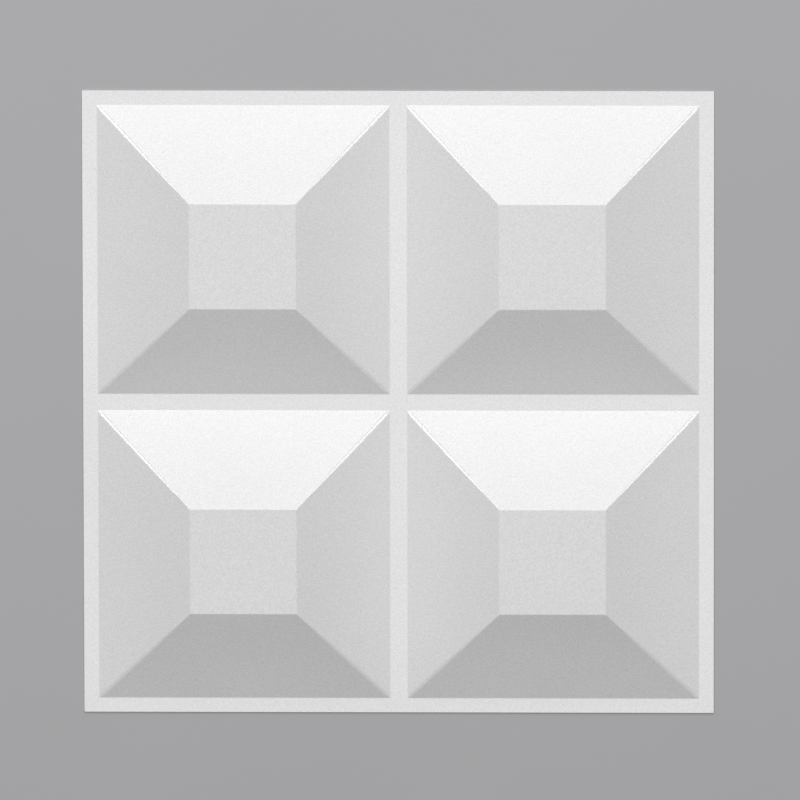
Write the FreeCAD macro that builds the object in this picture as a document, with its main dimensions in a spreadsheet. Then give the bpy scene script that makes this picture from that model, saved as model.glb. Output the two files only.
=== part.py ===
import FreeCAD, Part
import os

import Sketcher

# A square wall panel tile, formed from one thin plastic sheet. It lies face up:
# the back of its flat border and ribs is the plane z = 0, and X and Y run along its edges.
# Raised truncated pyramids stand between the ribs, and they are hollow and open at the back.

# Driving dimensions, in millimetres. A fold's radius is given on the side where it is tighter,
# and the other side of the sheet is rounder by the sheet's thickness.
SIZES = {
    "panel_side": 500,
    "sheet_thickness": 1,
    "border_width": 11.5,
    "rib_width": 13,
    "pyramids_per_side": 2,
    "crown_side": 84,
    "relief_height": 35,
    "base_fold_front_radius": 1.5,
    "crown_fold_back_radius": 1,
    "hip_back_radius": 2.5,
    "corner_radius": 0.5,
}

# One pyramid fills each square that the border and the ribs leave
BASE_SIDE = (
    "(sizes.panel_side - 2 * sizes.border_width"
    " - (sizes.pyramids_per_side - 1) * sizes.rib_width) / sizes.pyramids_per_side"
)
PITCH = f"{BASE_SIDE} + sizes.rib_width"
FIRST_CENTRE = f"sizes.border_width + {BASE_SIDE} / 2 - sizes.panel_side / 2"

# The sheet has one thickness all over, measured square to each facet.
# The hollow's edges therefore lie this far inside the edges of the face above it.
SLOPE = (
    "atan(2 * (sizes.relief_height - sizes.sheet_thickness)"
    f" / ({BASE_SIDE} - sizes.crown_side))"
)
INSET = f"sizes.sheet_thickness * tan({SLOPE} / 2)"

# Two places closer than this are the same place
SAME_PLACE = 1e-4


def add_sizes(document):
    """Put every driving dimension in one sheet, under its own name."""
    sheet = document.addObject("Spreadsheet::Sheet", "sizes")
    for row, (name, value) in enumerate(SIZES.items(), start=1):
        sheet.set(f"A{row}", name)
        sheet.set(f"B{row}", str(value))
        sheet.setAlias(f"B{row}", name)
    document.recompute()
    return sheet


def origin_plane(body, role):
    """Find one of the body's own origin planes."""
    return next(plane for plane in body.Origin.OriginFeatures if plane.Role == role)


def add_outline(body):
    """Draw the panel's square outline about the middle of its back."""
    sketch = body.newObject("Sketcher::SketchObject", "outline")
    sketch.AttachmentSupport = [(origin_plane(body, "XY_Plane"), "")]
    sketch.MapMode = "FlatFace"

    # The size drawn here is only a start: the named constraints below set the real one
    half = 10
    places = ((-half, -half), (half, -half), (half, half), (-half, half))
    corners = [FreeCAD.Vector(x, y, 0) for x, y in places]
    for index, corner in enumerate(corners):
        sketch.addGeometry(Part.LineSegment(corner, corners[(index + 1) % 4]))
    start_point, end_point = 1, 2
    for index in range(4):
        sketch.addConstraint(
            Sketcher.Constraint("Coincident", index, end_point, (index + 1) % 4, start_point)
        )
        direction = "Horizontal" if index % 2 == 0 else "Vertical"
        sketch.addConstraint(Sketcher.Constraint(direction, index))
    sketch.addConstraint(Sketcher.Constraint("Symmetric", 0, start_point, 2, start_point, -1, 1))
    for name, constraint in (
        ("width", Sketcher.Constraint("DistanceX", 0, start_point, 0, end_point, 2 * half)),
        ("depth", Sketcher.Constraint("DistanceY", 1, start_point, 1, end_point, 2 * half)),
    ):
        number = sketch.addConstraint(constraint)
        sketch.renameConstraint(number, name)
        sketch.setExpression(f"Constraints.{name}", "sizes.panel_side")
    return sketch


def add_pyramid(body, kind, name, foot, inset):
    """Stand a truncated pyramid on its foot at the first centre, its edges moved in by the inset."""
    pyramid = body.newObject(kind, name)
    pyramid.AttachmentSupport = [(origin_plane(body, "XZ_Plane"), "")]
    pyramid.MapMode = "FlatFace"
    # On this plane the wedge's own Y points up and its own Z points towards the front edge
    for axis, place in (("x", FIRST_CENTRE), ("y", foot), ("z", f"-({FIRST_CENTRE})")):
        pyramid.setExpression(f".AttachmentOffset.Base.{axis}", place)
    pyramid.setExpression("Ymin", "0")
    pyramid.setExpression("Ymax", "sizes.relief_height - sizes.sheet_thickness")
    for end, side in (("", BASE_SIDE), ("2", "sizes.crown_side")):
        for axis in "XZ":
            pyramid.setExpression(f"{axis}{end}min", f"-({side}) / 2 + {inset}")
            pyramid.setExpression(f"{axis}{end}max", f"({side}) / 2 - {inset}")
    return pyramid


def add_grid(body, name, feature, sketch):
    """Repeat a feature once for every pyramid, along both edges of the panel."""
    grid = body.newObject("PartDesign::LinearPattern", name)
    grid.Originals = [feature]
    grid.Direction = (sketch, ["H_Axis"])
    grid.Direction2 = (sketch, ["V_Axis"])
    grid.Mode = grid.Mode2 = "Spacing"
    grid.Spacings2 = grid.Spacings
    for way in ("", "2"):
        grid.setExpression(f"Offset{way}", PITCH)
        grid.setExpression(f"Occurrences{way}", "sizes.pyramids_per_side")
    body.Tip = grid
    return grid


def fold_sheet(document):
    """Make the sheet with sharp folds: flat lattice, raised pyramids and their hollow backs."""
    body = document.addObject("PartDesign::Body", "wall_panel_tile")
    outline = add_outline(body)
    lattice = body.newObject("PartDesign::Pad", "flat_lattice")
    lattice.Profile = outline
    lattice.setExpression("Length", "sizes.sheet_thickness")

    face = add_pyramid(body, "PartDesign::AdditiveWedge", "pyramid_face", "sizes.sheet_thickness", "0")
    add_grid(body, "pyramid_faces", face, outline)
    hollow = add_pyramid(body, "PartDesign::SubtractiveWedge", "pyramid_hollow", "0", INSET)
    add_grid(body, "pyramid_hollows", hollow, outline)
    return body


def add_fillet(body, name, radius, is_wanted):
    """Round every edge of the body so far whose two ends pass the test."""
    body.Document.recompute()
    base = body.Tip
    edges = []
    for number, edge in enumerate(base.Shape.Edges, start=1):
        start, end = (vertex.Point for vertex in edge.Vertexes)
        if is_wanted(start, end):
            edges.append(f"Edge{number}")
    fillet = body.newObject("PartDesign::Fillet", name)
    fillet.Base = (base, edges)
    fillet.setExpression("Radius", radius)
    body.Tip = fillet


def round_hips(body, sizes):
    """Round the four sloping folds of each pyramid, on its face and in its hollow."""
    foot = sizes.sheet_thickness / 2

    def slopes(start, end):
        return abs(start.z - end.z) > SAME_PLACE and abs(start.x - end.x) > SAME_PLACE

    def on_face(start, end):
        return slopes(start, end) and min(start.z, end.z) > foot

    def in_hollow(start, end):
        return slopes(start, end) and min(start.z, end.z) < foot

    add_fillet(body, "face_hips", "sizes.hip_back_radius + sizes.sheet_thickness", on_face)
    add_fillet(body, "hollow_hips", "sizes.hip_back_radius", in_hollow)


def round_level_folds(body, sizes):
    """Round the folds along each crown and each base, on both sides of the sheet."""
    folds = (
        ("face_crowns", sizes.relief_height, "sizes.crown_fold_back_radius + sizes.sheet_thickness"),
        ("face_bases", sizes.sheet_thickness, "sizes.base_fold_front_radius"),
        (
            "hollow_crowns",
            sizes.relief_height - sizes.sheet_thickness,
            "sizes.crown_fold_back_radius",
        ),
        ("hollow_bases", 0, "sizes.base_fold_front_radius + sizes.sheet_thickness"),
    )
    rim = sizes.panel_side / 2 - SAME_PLACE
    for name, height, radius in folds:
        def lies_level(start, end):
            level = abs(start.z - height) < SAME_PLACE and abs(end.z - height) < SAME_PLACE
            return level and max(abs(start.x), abs(start.y)) < rim

        add_fillet(body, name, radius, lies_level)


def round_corners(body, sizes):
    """Take the points off the panel's four outer corners."""
    rim = sizes.panel_side / 2 - SAME_PLACE

    def stands_at_corner(start, end):
        upright = abs(start.x - end.x) < SAME_PLACE and abs(start.y - end.y) < SAME_PLACE
        return upright and min(abs(start.x), abs(start.y)) > rim

    add_fillet(body, "panel_corners", "sizes.corner_radius", stands_at_corner)


def check_document(document):
    """Stop if any feature failed."""
    for item in document.Objects:
        if "Invalid" in item.State or "Error" in item.State:
            raise RuntimeError(f"{item.Label} failed: {item.State}")


def write_step(piece):
    """Write one finished piece to a file named after it."""
    shape = piece.Shape
    if shape.isNull() or not shape.isValid():
        raise RuntimeError(f"{piece.Label} has no valid shape")
    if len(shape.Solids) != 1:
        raise RuntimeError(f"{piece.Label} should be one solid")
    shape.exportStep(os.path.join("parts", f"{piece.Label}.step"))
    box = shape.BoundBox
    print(f"{piece.Label}: {box.XLength:.2f} x {box.YLength:.2f} x {box.ZLength:.2f} mm")
    print(f"volume {shape.Volume / 1000:.2f} cm3, area {shape.Area / 100:.1f} cm2")


os.makedirs("parts", exist_ok=True)
document = FreeCAD.newDocument("wall_panel")
sizes = add_sizes(document)
panel = fold_sheet(document)
round_hips(panel, sizes)
round_level_folds(panel, sizes)
round_corners(panel, sizes)
document.recompute()
check_document(document)
write_step(panel)
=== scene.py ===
"""A white wall panel tile: one thin formed sheet with four hollow pyramids between flat ribs."""

import math

import bmesh
import bpy
from mathutils import Euler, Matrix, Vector


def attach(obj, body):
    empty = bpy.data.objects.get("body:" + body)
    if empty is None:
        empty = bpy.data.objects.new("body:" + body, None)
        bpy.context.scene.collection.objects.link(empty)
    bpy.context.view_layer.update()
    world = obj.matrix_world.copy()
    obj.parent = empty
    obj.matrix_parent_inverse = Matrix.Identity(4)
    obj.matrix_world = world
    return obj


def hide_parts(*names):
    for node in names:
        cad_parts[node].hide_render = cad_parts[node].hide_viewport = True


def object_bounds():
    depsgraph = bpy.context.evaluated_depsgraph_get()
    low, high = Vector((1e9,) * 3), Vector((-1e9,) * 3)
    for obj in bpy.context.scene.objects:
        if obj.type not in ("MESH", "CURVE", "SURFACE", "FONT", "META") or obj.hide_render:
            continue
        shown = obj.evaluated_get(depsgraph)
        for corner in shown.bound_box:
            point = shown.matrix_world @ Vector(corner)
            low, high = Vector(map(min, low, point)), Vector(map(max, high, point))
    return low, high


bl_info = {
    "name": "Wall Panel Tile",
    "version": (1, 0, 0),
    "blender": (4, 5, 0),
    "location": "View3D > Sidebar > Wall Panel",
    "description": "Builds a formed white wall panel tile and the studio that shows it",
    "category": "Object",
}

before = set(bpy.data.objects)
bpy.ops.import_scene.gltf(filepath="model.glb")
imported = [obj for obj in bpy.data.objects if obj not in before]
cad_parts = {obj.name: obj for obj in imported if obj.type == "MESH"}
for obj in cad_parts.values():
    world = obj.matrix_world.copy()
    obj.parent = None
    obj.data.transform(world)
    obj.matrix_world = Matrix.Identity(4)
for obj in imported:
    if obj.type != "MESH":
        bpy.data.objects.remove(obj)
CAD_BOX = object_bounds()
PANEL_SIDE = CAD_BOX[1][0] - CAD_BOX[0][0]
BACK_HEIGHT, CROWN_HEIGHT = CAD_BOX[0][2], CAD_BOX[1][2]
RELIEF_HEIGHT = CROWN_HEIGHT - BACK_HEIGHT

# Places closer than this, in metres, are the same place
SAME_PLACE = 1e-5

# The floor lies this far below the panel's back, so that the two never share a plane
FLOOR_GAP = 0.0002

# The width of each hip, from base to crown: share of the height, share of the greatest width
HIP_TAPER = ((0, 0.3), (0.04, 1), (0.5, 0.85), (0.8, 0.45), (0.86, 0.2), (1, 0.2))

# The strips of a hip meet at more than this angle, and the steps of a rounded fold at less
SHARP_ANGLE = math.radians(5.3)

# Where the lights hang, seen from the panel's middle, and how wide and deep they are, in metres.
# The left light mirrors the right one.
TOP_LIGHT_PLACE, TOP_LIGHT_SIZE = (0, 6.24, 5.0), (8, 5)
RIGHT_LIGHT_PLACE, RIGHT_LIGHT_SIZE = (2.6, 1.5, 5.1), (1.6, 1.6)

# What the camera sees: the width of its picture and the middle of it, in metres
PICTURE_WIDTH = 0.634
PICTURE_CENTRE = Vector((0.0012, 0.0018, 0))


class PanelSizes(bpy.types.PropertyGroup):
    """Sizes of the formed sheet."""

    panel_side: bpy.props.FloatProperty(
        name="Panel side", description="Length of each edge of the square panel",
        default=PANEL_SIDE, unit="LENGTH",
    )
    relief_height: bpy.props.FloatProperty(
        name="Relief height", description="Height of the crowns above the back",
        default=RELIEF_HEIGHT, unit="LENGTH",
    )
    sheet_thickness: bpy.props.FloatProperty(
        name="Sheet thickness", description="Thickness of the sheet, the same all over",
        default=0.001, unit="LENGTH",
    )
    border_width: bpy.props.FloatProperty(
        name="Border width", description="Width of the flat border round the panel",
        default=0.0115, unit="LENGTH",
    )
    rib_width: bpy.props.FloatProperty(
        name="Rib width", description="Width of the flat rib between two pyramids",
        default=0.013, unit="LENGTH",
    )
    pyramids_per_side: bpy.props.IntProperty(
        name="Pyramids per side", description="Number of pyramids along each edge", default=2,
    )
    crown_side: bpy.props.FloatProperty(
        name="Crown side", description="Side of the flat square on top of each pyramid",
        default=0.084, unit="LENGTH",
    )
    hip_width: bpy.props.FloatProperty(
        name="Hip width", description="Most that the strips of a hip take off a facet's side",
        default=0.0023, unit="LENGTH",
    )
    hip_flatness: bpy.props.FloatProperty(
        name="Hip flatness", description="How flat the hips are: 1 for strips of a round bend",
        default=1.2,
    )
    crown_fold_radius: bpy.props.FloatProperty(
        name="Crown fold radius", description="Radius of the fold round each crown, on the face",
        default=0.0014, unit="LENGTH",
    )
    base_fold_radius: bpy.props.FloatProperty(
        name="Base fold radius", description="Radius of the fold round each base, on the face",
        default=0.0015, unit="LENGTH",
    )
    corner_radius: bpy.props.FloatProperty(
        name="Corner radius", description="Radius of the panel's four outer corners",
        default=0.0005, unit="LENGTH",
    )
    rim_break: bpy.props.FloatProperty(
        name="Rim break", description="Width of the softened edge where the sheet was cut",
        default=0.00012, unit="LENGTH",
    )


class PanelFinish(bpy.types.PropertyGroup):
    """Colour and surface of the plastic."""

    sheet_colour: bpy.props.FloatVectorProperty(
        name="Sheet colour", description="Colour of the plastic",
        default=(0.82, 0.82, 0.82), subtype="COLOR",
    )
    speck_colour: bpy.props.FloatVectorProperty(
        name="Speck colour", description="Colour of the few dark specks in the plastic",
        default=(0.36, 0.35, 0.34), subtype="COLOR",
    )
    roughness: bpy.props.FloatProperty(
        name="Roughness", description="Roughness of the satin face",
        default=0.14, subtype="FACTOR",
    )
    grain: bpy.props.FloatProperty(
        name="Grain", description="Strength of the fine mottling in the plastic's tone",
        default=0.26, subtype="FACTOR",
    )


class StudioSetup(bpy.types.PropertyGroup):
    """Floor, light and camera."""

    floor_colour: bpy.props.FloatVectorProperty(
        name="Floor colour", description="Colour of the plain floor",
        default=(0.42, 0.42, 0.43), subtype="COLOR",
    )
    top_power: bpy.props.FloatProperty(
        name="Top power", description="Power of the large soft light beyond the panel's top edge",
        default=398.0,
    )
    left_power: bpy.props.FloatProperty(
        name="Left power", description="Power of the small soft light high up on the left",
        default=83.0,
    )
    right_power: bpy.props.FloatProperty(
        name="Right power", description="Power of the small soft light high up on the right",
        default=60.0,
    )
    fill_strength: bpy.props.FloatProperty(
        name="Fill strength", description="Brightness of the even light all round", default=0.21,
    )
    view_lean: bpy.props.FloatProperty(
        name="View lean", description="Lean of the view from straight down towards the top edge",
        default=math.radians(10), subtype="ANGLE",
    )
    view_turn: bpy.props.FloatProperty(
        name="View turn", description="Lean of the view from straight down towards the right edge",
        default=math.radians(1.2), subtype="ANGLE",
    )


def base_side(sizes):
    """Side of the square that each pyramid stands on."""
    count = sizes.pyramids_per_side
    return (sizes.panel_side - 2 * sizes.border_width - (count - 1) * sizes.rib_width) / count


def pyramid_starts(sizes):
    """Where each pyramid's base begins along an edge of the panel."""
    pitch = base_side(sizes) + sizes.rib_width
    first = sizes.border_width - sizes.panel_side / 2
    return [first + index * pitch for index in range(sizes.pyramids_per_side)]


def pyramid_centres(sizes):
    """The middle of each pyramid in plan."""
    middles = [start + base_side(sizes) / 2 for start in pyramid_starts(sizes)]
    return [Vector((x, y, 0)) for y in middles for x in middles]


def square_corners(centre, side):
    """The four corners of a level square about a centre."""
    ways = ((-1, -1), (1, -1), (1, 1), (-1, 1))
    return [centre + Vector((x * side / 2, y * side / 2, 0)) for x, y in ways]


def select(kind, test):
    """Select only the vertices, edges or faces that pass the test, in the mesh being edited."""
    bpy.ops.mesh.select_mode(type={"verts": "VERT", "edges": "EDGE", "faces": "FACE"}[kind])
    bpy.ops.mesh.select_all(action="DESELECT")
    data = bpy.context.edit_object.data
    mesh = bmesh.from_edit_mesh(data)
    found = [item for item in getattr(mesh, kind) if test(item)]
    if not found:
        raise RuntimeError(f"no {kind} to select")
    for item in found:
        item.select_set(True)
    mesh.select_flush_mode()
    bmesh.update_edit_mesh(data)


def lies_at(edge, height):
    """True for an edge that lies level at this height."""
    return all(abs(vertex.co.z - height) < SAME_PLACE for vertex in edge.verts)


def draw_lattice(sizes):
    """Lay a flat grid and move its lines to the edges of the border, the ribs and the bases.

    While the sheet is modelled, its own heights count from the face of this lattice.
    """
    half = sizes.panel_side / 2
    base = base_side(sizes)
    inner = [place for start in pyramid_starts(sizes) for place in (start, start + base)]
    cells = len(inner) + 1
    bpy.ops.mesh.primitive_grid_add(
        x_subdivisions=cells, y_subdivisions=cells, size=sizes.panel_side,
        location=(0, 0, BACK_HEIGHT + sizes.sheet_thickness),
    )
    bpy.ops.object.mode_set(mode="EDIT")
    for axis in (0, 1):
        for index, place in enumerate(inner, start=1):
            even_place = index * sizes.panel_side / cells - half
            select("verts", lambda vertex: abs(vertex.co[axis] - even_place) < SAME_PLACE)
            shift = Vector()
            shift[axis] = place - even_place
            bpy.ops.transform.translate(value=shift)

    select("verts", lambda vertex: min(abs(vertex.co.x), abs(vertex.co.y)) > half - SAME_PLACE)
    bpy.ops.mesh.bevel(offset=sizes.corner_radius, segments=3, affect="VERTICES")


def raise_pyramids(sizes):
    """Pull each base square up, give its hips their three strips and draw it in to its crown."""
    centres = pyramid_centres(sizes)
    rise = sizes.relief_height - sizes.sheet_thickness

    def is_base(face):
        middle = face.calc_center_median()
        return any((middle.xy - centre.xy).length < SAME_PLACE for centre in centres)

    select("faces", is_base)
    bpy.ops.mesh.extrude_region_move(TRANSFORM_OT_translate={"value": (0, 0, rise)})

    select("edges", lambda edge: abs(edge.verts[0].co.z - edge.verts[1].co.z) > rise / 2)
    bpy.ops.mesh.bevel(
        offset=sizes.hip_width, segments=3, profile=0.5, affect="EDGES", clamp_overlap=False,
    )
    # The two inner points of a round hip lie within this reach of its corner, the outer two beyond
    inner_reach = 0.6 * sizes.hip_width
    flatness = sizes.hip_flatness
    for centre in centres:
        for corner in square_corners(centre, base_side(sizes)):
            select("verts", lambda vertex: (vertex.co.xy - corner.xy).length < inner_reach)
            bpy.ops.transform.resize(value=(flatness, flatness, 1), center_override=corner)

    for share, _ in HIP_TAPER[1:-1]:
        bpy.ops.mesh.select_all(action="SELECT")
        cut = (0, 0, BACK_HEIGHT + sizes.sheet_thickness + share * rise)
        bpy.ops.mesh.bisect(plane_co=cut, plane_no=(0, 0, 1))
    for share, width_share in HIP_TAPER:
        side = base_side(sizes) + share * (sizes.crown_side - base_side(sizes))
        for centre in centres:
            draw_in(sizes, centre, share * rise, side, width_share * sizes.hip_width)


def draw_in(sizes, centre, height, side, hip_width):
    """Shrink one level of a pyramid to its side, and its four hips there to their width."""
    reach = base_side(sizes) / 2 + SAME_PLACE
    shrink = side / base_side(sizes)

    def on_level(vertex):
        offset = vertex.co - centre
        return abs(vertex.co.z - height) < SAME_PLACE and max(abs(offset.x), abs(offset.y)) < reach

    select("verts", on_level)
    bpy.ops.transform.resize(value=(shrink, shrink, 1), center_override=centre)

    drawn_hip = sizes.hip_width * shrink
    narrow = hip_width / drawn_hip
    for corner in square_corners(centre + Vector((0, 0, height)), side):

        def on_hip(vertex):
            at_level = abs(vertex.co.z - height) < SAME_PLACE
            return at_level and (vertex.co - corner).length < drawn_hip + SAME_PLACE

        select("verts", on_hip)
        bpy.ops.transform.resize(value=(narrow, narrow, 1), center_override=corner)


def soften_folds(sizes):
    """Round the folds along each crown and each base."""
    rise = sizes.relief_height - sizes.sheet_thickness
    slope = math.atan2(2 * rise, base_side(sizes) - sizes.crown_side)

    def turns(edge):
        return len(edge.link_faces) == 2 and edge.calc_face_angle() > slope / 2

    for height, radius in ((rise, sizes.crown_fold_radius), (0, sizes.base_fold_radius)):
        select("edges", lambda edge: lies_at(edge, height) and turns(edge))
        bpy.ops.mesh.bevel(
            offset=radius * math.tan(slope / 2), segments=5, profile=0.5,
            affect="EDGES", clamp_overlap=False,
        )


def add_modifier(piece, kind, name, **settings):
    """Put a modifier on a piece and apply it."""
    modifier = piece.modifiers.new(name, kind)
    for setting, value in settings.items():
        setattr(modifier, setting, value)
    bpy.ops.object.modifier_apply(modifier=modifier.name)


def form_sheet(sizes):
    """Model the sheet's face, then give it its thickness and its cut rim."""
    if bpy.context.object and bpy.context.object.mode != "OBJECT":
        bpy.ops.object.mode_set(mode="OBJECT")
    bpy.ops.object.select_all(action="DESELECT")
    draw_lattice(sizes)
    raise_pyramids(sizes)
    soften_folds(sizes)
    bpy.ops.object.mode_set(mode="OBJECT")

    sheet = bpy.context.object
    sheet.name = sheet.data.name = "formed_sheet"
    bpy.ops.object.transform_apply(location=True, rotation=True, scale=True)
    add_modifier(
        sheet, "SOLIDIFY", "thickness",
        thickness=sizes.sheet_thickness, offset=-1, use_even_offset=True,
    )
    add_modifier(
        sheet, "BEVEL", "rim", width=sizes.rim_break, segments=2,
        limit_method="ANGLE", angle_limit=math.radians(60),
    )
    bpy.ops.object.shade_smooth_by_angle(angle=SHARP_ANGLE)
    add_modifier(sheet, "WEIGHTED_NORMAL", "flat facets", keep_sharp=True, weight=100)
    return sheet


class Term:
    """A shader socket that can stand in a sum or a product."""

    def __init__(self, graph, socket):
        self.graph = graph
        self.socket = socket

    def math(self, operation, first, second):
        return self.graph.add("ShaderNodeMath", {"operation": operation}, {0: first, 1: second})

    def __add__(self, other):
        return self.math("ADD", self, other)

    def __sub__(self, other):
        return self.math("SUBTRACT", self, other)

    def __rsub__(self, other):
        return self.math("SUBTRACT", other, self)

    def __mul__(self, other):
        return self.math("MULTIPLY", self, other)

    __radd__ = __add__
    __rmul__ = __mul__


class ShaderGraph:
    """The nodes of one material, with its Principled BSDF ready."""

    def __init__(self, name):
        self.material = bpy.data.materials.new(name)
        self.material.use_nodes = True
        self.tree = self.material.node_tree
        self.shader = self.tree.nodes["Principled BSDF"]

    def add(self, kind, settings, inputs, output=0):
        """Add a node: its settings first, then a value or a link for each input."""
        node = self.tree.nodes.new(kind)
        for name, value in settings.items():
            setattr(node, name, value)
        for name, value in inputs.items():
            self.feed(node.inputs[name], value)
        return Term(self, node.outputs[output])

    def feed(self, socket, value):
        """Link a term to a socket, or set the socket's own value."""
        if isinstance(value, Term):
            self.tree.links.new(value.socket, socket)
        else:
            socket.default_value = value

    def noise(self, place, scale, detail):
        """Noise with this many grains to the metre."""
        inputs = {"Vector": place, "Scale": scale, "Detail": detail}
        return self.add("ShaderNodeTexNoise", {}, inputs)

    def between(self, value, low, high):
        """0 below low, 1 above high and a smooth step between them."""
        settings = {"interpolation_type": "SMOOTHSTEP"}
        inputs = {"Value": value, "From Min": low, "From Max": high}
        return self.add("ShaderNodeMapRange", settings, inputs)

    def blend(self, share, first, second):
        """Mix two colours. The mix node's colour sockets follow those of its other data types."""
        return self.add("ShaderNodeMix", {"data_type": "RGBA"}, {0: share, 6: first, 7: second}, 2)

    def bump(self, height, distance, normal=None):
        """Raise the surface by the height term times the distance."""
        inputs = {"Height": height, "Distance": distance}
        if normal:
            inputs["Normal"] = normal
        return self.add("ShaderNodeBump", {}, inputs)


def opaque(colour, brightness=1.0):
    """A colour with full alpha, made lighter or darker."""
    return (*(channel * brightness for channel in colour), 1.0)


def make_sheet_material(finish):
    """Satin white plastic: faint mottling, painted light and shade by height, a slightly uneven
    gloss and a few dark specks.
    """
    graph = ShaderGraph("satin_white_plastic")
    place = graph.add("ShaderNodeTexCoord", {}, {}, "Object")

    # Tone: drifts of the sheet over a hand's width, and mottling about a millimetre across
    drift = graph.noise(place, 6.0, 2.0)
    mottling = graph.noise(place, 760.0, 3.0)
    tone = graph.between(drift * 0.15 + mottling * 0.85, 0.3, 0.7)
    plastic = graph.blend(
        tone,
        opaque(finish.sheet_colour, 1.0 - finish.grain / 2),
        opaque(finish.sheet_colour, 1.0 + finish.grain / 2),
    )

    # Painted light and shade by height: a lighter lattice, and pyramids painted darker towards
    # their crowns. The crowns lie between facets and lattice.
    height = graph.add("ShaderNodeSeparateXYZ", {}, {"Vector": place}, "Z")
    lattice_end = (BACK_HEIGHT + 0.00105, BACK_HEIGHT + 0.0014)
    crown_start = (CROWN_HEIGHT - 0.0004, CROWN_HEIGHT - 0.0001)
    off_lattice = graph.between(height, *lattice_end)
    on_crown = graph.between(height, *crown_start)
    # Painted light: the lattice's tone, lifted halfway towards a lighter copy of the colour
    flat = graph.blend(0.5, plastic, opaque(finish.sheet_colour, 1.13))
    # Painted shade: darker from the back up to the crowns
    painted_shade_by_height = graph.blend(
        graph.between(height, BACK_HEIGHT, CROWN_HEIGHT),
        opaque(finish.sheet_colour, 0.92),
        opaque(finish.sheet_colour, 0.83),
    )
    painted_shade_pyramids = graph.blend(0.5, plastic, painted_shade_by_height)
    # Painted light on the lattice, painted shade on the facets, and the crowns partway back
    # towards the lattice's tone
    plastic = graph.blend(off_lattice - on_crown * 0.32, flat, painted_shade_pyramids)

    # Specks: a grain of dark matter in a few of the cells of a coarse pattern, seen in plan
    plan = {"voronoi_dimensions": "2D"}
    cells = {"Vector": place, "Scale": 38.0, "Randomness": 1.0}
    distance = graph.add("ShaderNodeTexVoronoi", plan, cells, "Distance")
    chance = graph.add("ShaderNodeTexVoronoi", plan, cells, "Color")
    one_in_six, speck_rim, speck_strength = (0.83, 0.84), (0.013, 0.027), 0.36
    rare = graph.between(graph.add("ShaderNodeSeparateColor", {}, {"Color": chance}), *one_in_six)
    speck = (1.0 - graph.between(distance, *speck_rim)) * rare
    speckled = graph.blend(speck * speck_strength, plastic, opaque(finish.speck_colour))
    graph.feed(graph.shader.inputs["Base Color"], speckled)

    # Gloss: a little uneven, as a sheet leaves its mould
    haze = graph.noise(place, 14.0, 3.0)
    uneven = haze * 0.08 + mottling * 0.06
    graph.feed(graph.shader.inputs["Roughness"], uneven + (finish.roughness - 0.07))

    # Relief: long shallow waves of a formed sheet under a fine grain
    waves = graph.bump(graph.noise(place, 9.0, 1.0), 0.0012)
    grain = graph.bump(graph.noise(place, 800.0, 2.0), 0.000015, waves)
    graph.feed(graph.shader.inputs["Normal"], grain)
    return graph.material


def make_floor_material(studio):
    """A plain pale floor, a little uneven in tone and gloss."""
    graph = ShaderGraph("plain_floor")
    place = graph.add("ShaderNodeTexCoord", {}, {}, "Object")
    cloud = graph.noise(place, 3.0, 4.0)
    tint = graph.blend(cloud, opaque(studio.floor_colour, 0.97), opaque(studio.floor_colour, 1.03))
    graph.feed(graph.shader.inputs["Base Color"], tint)
    graph.feed(graph.shader.inputs["Roughness"], cloud * 0.1 + 0.5)
    return graph.material


def add_area_light(name, place, size, power):
    """Hang a rectangular soft light that faces the panel's middle."""
    data = bpy.data.lights.new(name, "AREA")
    data.shape = "RECTANGLE"
    data.size, data.size_y = size
    data.energy = power
    light = bpy.data.objects.new(name, data)
    light.location = place
    light.rotation_euler = (-Vector(place)).to_track_quat("-Z", "Y").to_euler()
    bpy.context.scene.collection.objects.link(light)


def add_camera(studio):
    """Look down on the panel with a very long lens, a little from its top and right edges."""
    data = bpy.data.cameras.new("camera")
    data.lens = 1000
    camera = bpy.data.objects.new("camera", data)
    distance = PICTURE_WIDTH * data.lens / data.sensor_width
    # The two leans skew the square a little, so each pair of its edges takes half of the skew
    skew = math.sin(studio.view_lean) * math.sin(studio.view_turn)
    turn = Euler((-studio.view_lean, studio.view_turn, -skew / 2))
    camera.location = PICTURE_CENTRE + turn.to_matrix() @ Vector((0, 0, distance))
    camera.rotation_euler = turn
    bpy.context.scene.collection.objects.link(camera)
    bpy.context.scene.camera = camera


class PANEL_OT_formed_sheet(bpy.types.Operator):
    """Model the formed sheet in the place of the frame's panel"""

    bl_idname = "wall_panel.formed_sheet"
    bl_label = "Formed Sheet"

    def execute(self, context):
        sheet = form_sheet(context.scene.panel_sizes)
        sheet.data.materials.clear()
        sheet.data.materials.append(make_sheet_material(context.scene.panel_finish))
        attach(sheet, "root")
        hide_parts("wall_panel_tile")
        return {"FINISHED"}


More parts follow.
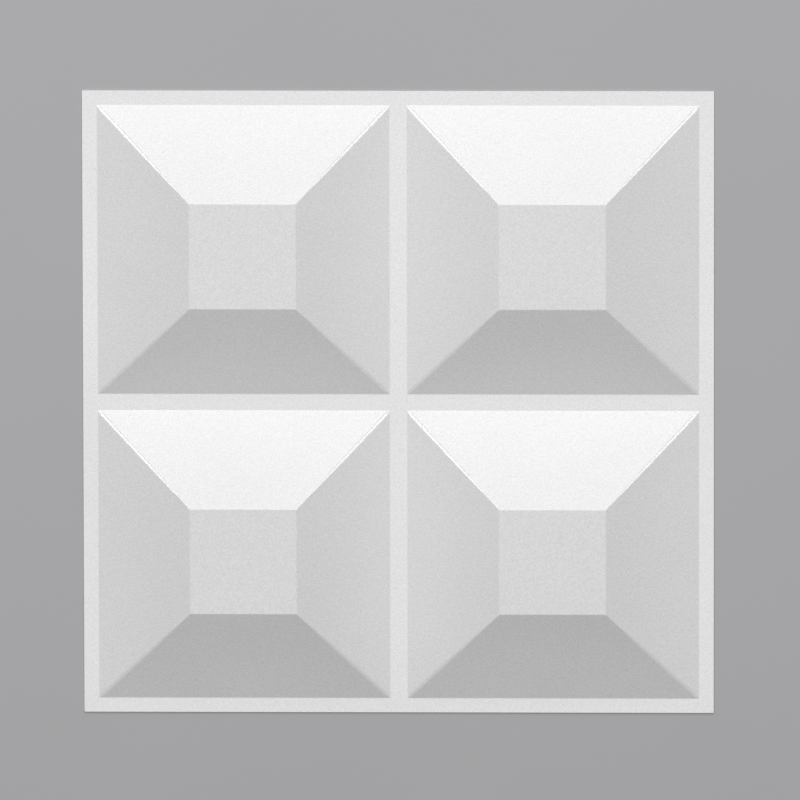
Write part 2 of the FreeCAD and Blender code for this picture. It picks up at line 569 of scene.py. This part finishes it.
class PANEL_OT_studio(bpy.types.Operator):
    """Lay the floor, hang the lights and place the camera"""

    bl_idname = "wall_panel.studio"
    bl_label = "Studio"

    def execute(self, context):
        studio = context.scene.panel_studio
        bpy.ops.object.select_all(action="DESELECT")
        bpy.ops.mesh.primitive_plane_add(size=8, location=(0, 0, BACK_HEIGHT - FLOOR_GAP))
        floor = context.object
        floor.name = "floor"
        floor.data.materials.append(make_floor_material(studio))

        x, y, z = RIGHT_LIGHT_PLACE
        add_area_light("top_light", TOP_LIGHT_PLACE, TOP_LIGHT_SIZE, studio.top_power)
        add_area_light("left_light", (-x, y, z), RIGHT_LIGHT_SIZE, studio.left_power)
        add_area_light("right_light", (x, y, z), RIGHT_LIGHT_SIZE, studio.right_power)
        world = bpy.data.worlds.new("even_light")
        world.use_nodes = True
        background = world.node_tree.nodes["Background"]
        background.inputs["Color"].default_value = (1, 1, 1, 1)
        background.inputs["Strength"].default_value = studio.fill_strength
        context.scene.world = world
        context.scene.view_settings.view_transform = "Standard"
        add_camera(studio)
        return {"FINISHED"}


class PANEL_PT_sidebar(bpy.types.Panel):
    """Lists the sizes, the finish, the studio and the steps that use them"""

    bl_idname = "PANEL_PT_sidebar"
    bl_label = "Wall Panel"
    bl_space_type = "VIEW_3D"
    bl_region_type = "UI"
    bl_category = "Wall Panel"

    def draw(self, context):
        scene = context.scene
        for group in (scene.panel_sizes, scene.panel_finish, scene.panel_studio):
            box = self.layout.box()
            for name in type(group).__annotations__:
                box.prop(group, name)
        self.layout.operator(PANEL_OT_formed_sheet.bl_idname)
        self.layout.operator(PANEL_OT_studio.bl_idname)


CLASSES = (
    PanelSizes, PanelFinish, StudioSetup, PANEL_OT_formed_sheet, PANEL_OT_studio, PANEL_PT_sidebar,
)


def register():
    for item in CLASSES:
        bpy.utils.register_class(item)
    bpy.types.Scene.panel_sizes = bpy.props.PointerProperty(type=PanelSizes)
    bpy.types.Scene.panel_finish = bpy.props.PointerProperty(type=PanelFinish)
    bpy.types.Scene.panel_studio = bpy.props.PointerProperty(type=StudioSetup)


def unregister():
    del bpy.types.Scene.panel_studio
    del bpy.types.Scene.panel_finish
    del bpy.types.Scene.panel_sizes
    for item in reversed(CLASSES):
        bpy.utils.unregister_class(item)


def main():
    """Build the panel and its studio."""
    register()
    bpy.ops.wall_panel.formed_sheet()
    bpy.ops.wall_panel.studio()


if __name__ == "__main__":
    main()
